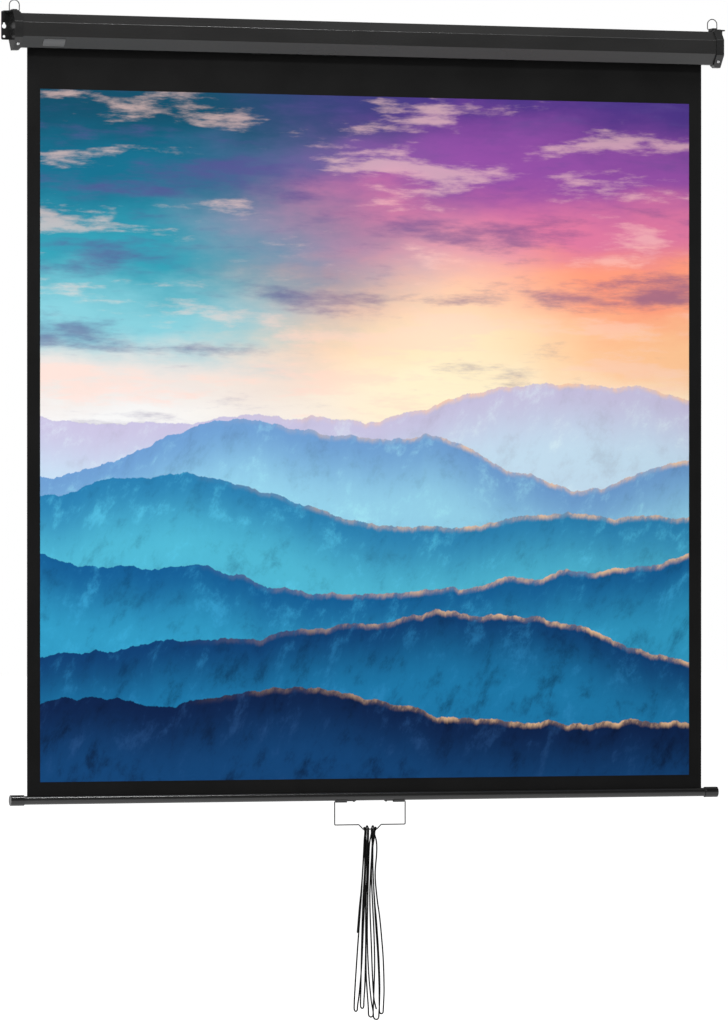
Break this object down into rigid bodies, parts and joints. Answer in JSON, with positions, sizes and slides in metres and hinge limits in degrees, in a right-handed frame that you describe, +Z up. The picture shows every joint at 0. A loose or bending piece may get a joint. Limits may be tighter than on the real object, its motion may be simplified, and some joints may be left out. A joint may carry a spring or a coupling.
{
  "type": "pull-down projection screen",
  "caption": "Manual pull-down projection screen: octagonal wall case with end caps and hanger rings, square black-bordered sheet, round bottom bar, wire pull handle and a hank of cord.",
  "frame": {"origin": "on the wall plane, midway between the tops of the two keyhole slots that the case hangs from", "axes": "+X along the case towards the spring end, -Y towards the audience, +Y into the wall, +Z up"},
  "size_m": [2.001, 0.068, 2.6685],
  "materials": {
    "case_paint": "satin black powder coat",
    "cap_plastic": "glossy black moulded plastic",
    "screw_steel": "bright plated steel",
    "ring_steel": "bright zinc plated wire",
    "badge_metal": "plain satin grey plate",
    "roller_steel": "plated steel",
    "spring_steel": "oiled spring steel",
    "inner_plastic": "plain white moulded plastic",
    "screen_fabric": "matt coated cloth, black masking round the viewing area, black back",
    "bar_paint": "glossy black paint",
    "clip_metal": "black pressed steel",
    "handle_wire": "plain grey steel wire",
    "cord_black": "braided black cord"
  },
  "bodies": {
    "case": {"housing": "case_paint", "end_cap_left": "cap_plastic", "end_cap_right": "cap_plastic", "cap_screw_left": "screw_steel", "cap_screw_right": "screw_steel", "badge_plate": "badge_metal", "idler_bush": "inner_plastic", "spring_shaft": "roller_steel", "spring_arbor": "inner_plastic", "torsion_spring": "spring_steel", "ratchet_wheel": "roller_steel", "screen_fabric": "screen_fabric"},
    "roller": {"roller_tube": "roller_steel", "fabric_wraps": "screen_fabric", "idler_plug": "inner_plastic", "idler_pin": "roller_steel", "drive_plug": "inner_plastic", "pawl_pin_front": "roller_steel", "pawl_pin_rear": "roller_steel"},
    "front_pawl": {"pawl_front": "roller_steel"},
    "rear_pawl": {"pawl_rear": "roller_steel"},
    "bar": {"bottom_bar": "bar_paint", "hem_rod": "roller_steel", "bar_cap_left": "cap_plastic", "bar_cap_right": "cap_plastic", "handle_clip_left": "clip_metal", "handle_clip_right": "clip_metal", "clip_screw_left": "clip_metal", "clip_screw_right": "clip_metal"},
    "handle": {"pull_handle": "handle_wire"},
    "cord": {"pull_cord": "cord_black"},
    "left_ring": {"hanger_ring_left": "ring_steel"},
    "right_ring": {"hanger_ring_right": "ring_steel"}
  },
  "joints": [
    {"name": "screen_drop", "type": "slide", "parent": "case", "child": "bar", "axis": [0, 0, 1], "range_m": [0, 1.925], "deforming": ["screen_fabric"]},
    {"name": "roller_turn", "type": "hinge", "parent": "case", "child": "roller", "pos_m": [0, -0.03655, -0.018], "axis": [1, 0, 0], "range_deg": [0, 4600]},
    {"name": "front_pawl_swing", "type": "hinge", "parent": "roller", "child": "front_pawl", "pos_m": [0.95, -0.05075, -0.018], "axis": [1, 0, 0], "range_deg": [0, 28]},
    {"name": "rear_pawl_swing", "type": "hinge", "parent": "roller", "child": "rear_pawl", "pos_m": [0.95, -0.02235, -0.018], "axis": [1, 0, 0], "range_deg": [0, 28]},
    {"name": "handle_swing", "type": "hinge", "parent": "bar", "child": "handle", "pos_m": [0, -0.015, -2.0304], "axis": [1, 0, 0], "range_deg": [-90, 90]},
    {"name": "cord_swing", "type": "hinge", "parent": "handle", "child": "cord", "pos_m": [0, -0.015, -2.1041], "axis": [1, 0, 0], "range_deg": [-90, 90]},
    {"name": "left_ring_swing", "type": "hinge", "parent": "case", "child": "left_ring", "pos_m": [-0.968, -0.011, 0.031], "axis": [1, 0, 0], "range_deg": [-85, 85]},
    {"name": "right_ring_swing", "type": "hinge", "parent": "case", "child": "right_ring", "pos_m": [0.968, -0.011, 0.031], "axis": [1, 0, 0], "range_deg": [-85, 85]}
  ],
  "couplings": [
    {"joint": "roller_turn", "follows": "screen_drop", "rad_per_m": 41.5}
  ]
}
